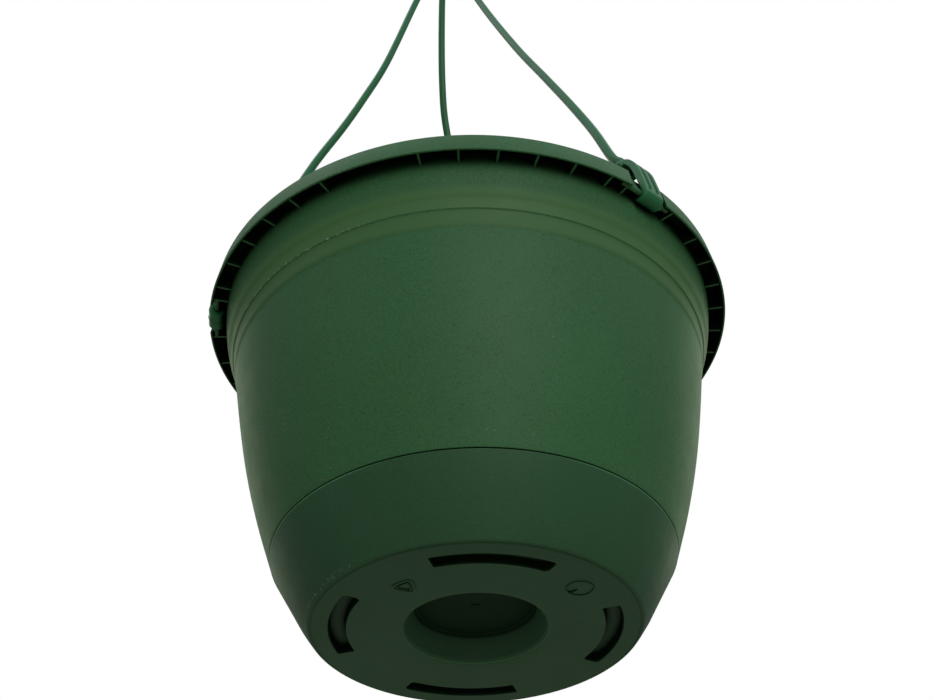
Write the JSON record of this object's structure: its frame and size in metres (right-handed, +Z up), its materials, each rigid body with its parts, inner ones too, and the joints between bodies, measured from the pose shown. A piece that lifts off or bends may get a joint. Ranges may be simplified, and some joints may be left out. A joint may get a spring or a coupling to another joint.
{
  "type": "hanging basket",
  "caption": "Round tapered plastic hanging basket with a push-on drip saucer and a springy strand hanger that clips under the rim and ends in a hook.",
  "frame": {"origin": "centre of the saucer's flat base, where the basket stands", "axes": "+Z up to the hook; -Y is the side that the reference view sees; +X is its right"},
  "size_m": [0.2548, 0.2548, 0.5525],
  "materials": {
    "pot_plastic": "fine matt grain",
    "saucer_plastic": "satin",
    "hanger_plastic": "satin"
  },
  "bodies": {
    "pot": {"pot": "pot_plastic"},
    "saucer": {"saucer": "saucer_plastic"},
    "hanger": {"hook": "hanger_plastic", "strand_right": "hanger_plastic", "strand_far": "hanger_plastic", "strand_left": "hanger_plastic"},
    "clip_right": {"clip_right": "hanger_plastic"},
    "clip_far": {"clip_far": "hanger_plastic"},
    "clip_left": {"clip_left": "hanger_plastic"}
  },
  "joints": [
    {"name": "saucer_release", "type": "slide", "parent": "pot", "child": "saucer", "axis": [0, 0, -1], "range_m": [0, 0.04]},
    {"name": "hanger_drop", "type": "slide", "parent": "pot", "child": "hanger", "axis": [0, 0, -1], "range_m": [0, 0.1], "stiffness_N_per_m": 60, "springref_m": -0.006, "deforming": ["strand_right", "strand_far", "strand_left"]},
    {"name": "clip_right_rock", "type": "hinge", "parent": "pot", "child": "clip_right", "pos_m": [0.08271, -0.09185, 0.1637], "axis": [-0.7431, -0.6691, 0], "range_deg": [0, 3.1]},
    {"name": "clip_far_rock", "type": "hinge", "parent": "pot", "child": "clip_far", "pos_m": [0.04126, 0.11651, 0.1637], "axis": [0.9426, -0.3338, 0], "range_deg": [0, 3.1]},
    {"name": "clip_left_rock", "type": "hinge", "parent": "pot", "child": "clip_left", "pos_m": [-0.12208, -0.01934, 0.1637], "axis": [-0.1564, 0.9877, 0], "range_deg": [0, 3.1]}
  ],
  "couplings": [
    {"joint": "clip_right_rock", "follows": "hanger_drop", "rad_per_m": 0.5236},
    {"joint": "clip_far_rock", "follows": "hanger_drop", "rad_per_m": 0.5236},
    {"joint": "clip_left_rock", "follows": "hanger_drop", "rad_per_m": 0.5236}
  ]
}
